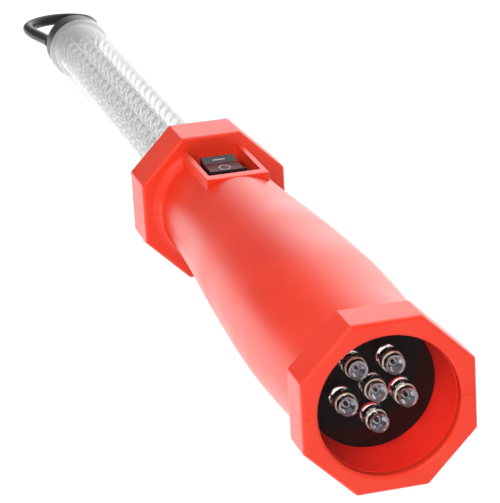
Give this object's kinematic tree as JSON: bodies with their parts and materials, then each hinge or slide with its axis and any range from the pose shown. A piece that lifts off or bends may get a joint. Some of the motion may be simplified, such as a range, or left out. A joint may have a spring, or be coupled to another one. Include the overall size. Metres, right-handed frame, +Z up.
{
  "type": "led inspection lamp",
  "caption": "Cordless LED hand lamp: clear light tube, two-shell handle with octagonal collars and a torch end, rocker switch, swivelling folding hanging loop.",
  "frame": {"origin": "centre of the bounding box at the plane of the two collars' bottom flats, on which the lamp lies", "axes": "+Y along the lamp from the torch end to the hanging loop, +Z up through the rocker switch, +X to the right looking along +Y"},
  "size_m": [0.044, 0.423, 0.044],
  "materials": {
    "red_plastic": "satin moulded, fine spark texture, slightly translucent edge glow",
    "black_plastic": "satin moulded black",
    "gloss_black": "polished black",
    "clear_plastic": "polished clear",
    "clear_resin": "polished clear epoxy",
    "white_board": "white solder mask",
    "green_board": "green solder mask",
    "cell_jacket": "shrink sleeve over a steel can",
    "steel": "zinc plated",
    "brass": "tinned brass tab",
    "rubber": "soft black rubber",
    "wire": "red PVC insulation"
  },
  "bodies": {
    "lamp": {"handle_top_shell": "red_plastic", "handle_bottom_shell": "red_plastic", "shell_screw_1": "steel", "shell_screw_2": "steel", "shell_screw_3": "steel", "shell_screw_4": "steel", "shell_screw_5": "steel", "shell_screw_6": "steel", "torch_lens": "clear_plastic", "torch_liner": "red_plastic", "torch_plate": "gloss_black", "torch_board": "green_board", "torch_led_1": "clear_resin", "torch_led_2": "clear_resin", "torch_led_3": "clear_resin", "torch_led_4": "clear_resin", "torch_led_5": "clear_resin", "torch_led_6": "clear_resin", "switch_housing": "black_plastic", "switch_terminal_1": "brass", "switch_terminal_2": "brass", "switch_terminal_3": "brass", "battery_cell_1": "cell_jacket", "battery_cell_2": "cell_jacket", "battery_cell_3": "cell_jacket", "cell_plate_front": "white_board", "cell_plate_rear": "white_board", "charge_board": "green_board", "charge_socket": "black_plastic", "torch_lead": "wire", "tube_lead": "wire", "light_tube": "clear_plastic", "tube_seal": "rubber", "led_board": "white_board", "led_strip_left": "clear_resin", "led_strip_middle": "clear_resin", "led_strip_right": "clear_resin", "end_plug": "black_plastic"},
    "rocker": {"switch_rocker": "gloss_black"},
    "swivel": {"swivel_cap": "black_plastic", "swivel_clip": "steel", "loop_pin": "steel"},
    "loop": {"hanging_loop": "black_plastic"}
  },
  "joints": [
    {"name": "rocker_tilt", "type": "hinge", "parent": "lamp", "child": "rocker", "pos_m": [0, -0.05835, 0.0338], "axis": [1, 0, 0], "range_deg": [-9, 9]},
    {"name": "loop_swivel", "type": "hinge", "parent": "lamp", "child": "swivel", "pos_m": [0, 0.16245, 0.022], "axis": [0, 1, 0], "continuous": true},
    {"name": "loop_fold", "type": "hinge", "parent": "swivel", "child": "loop", "pos_m": [0, 0.17225, 0.022], "axis": [1, 0, 0], "range_deg": [-90, 90]}
  ]
}
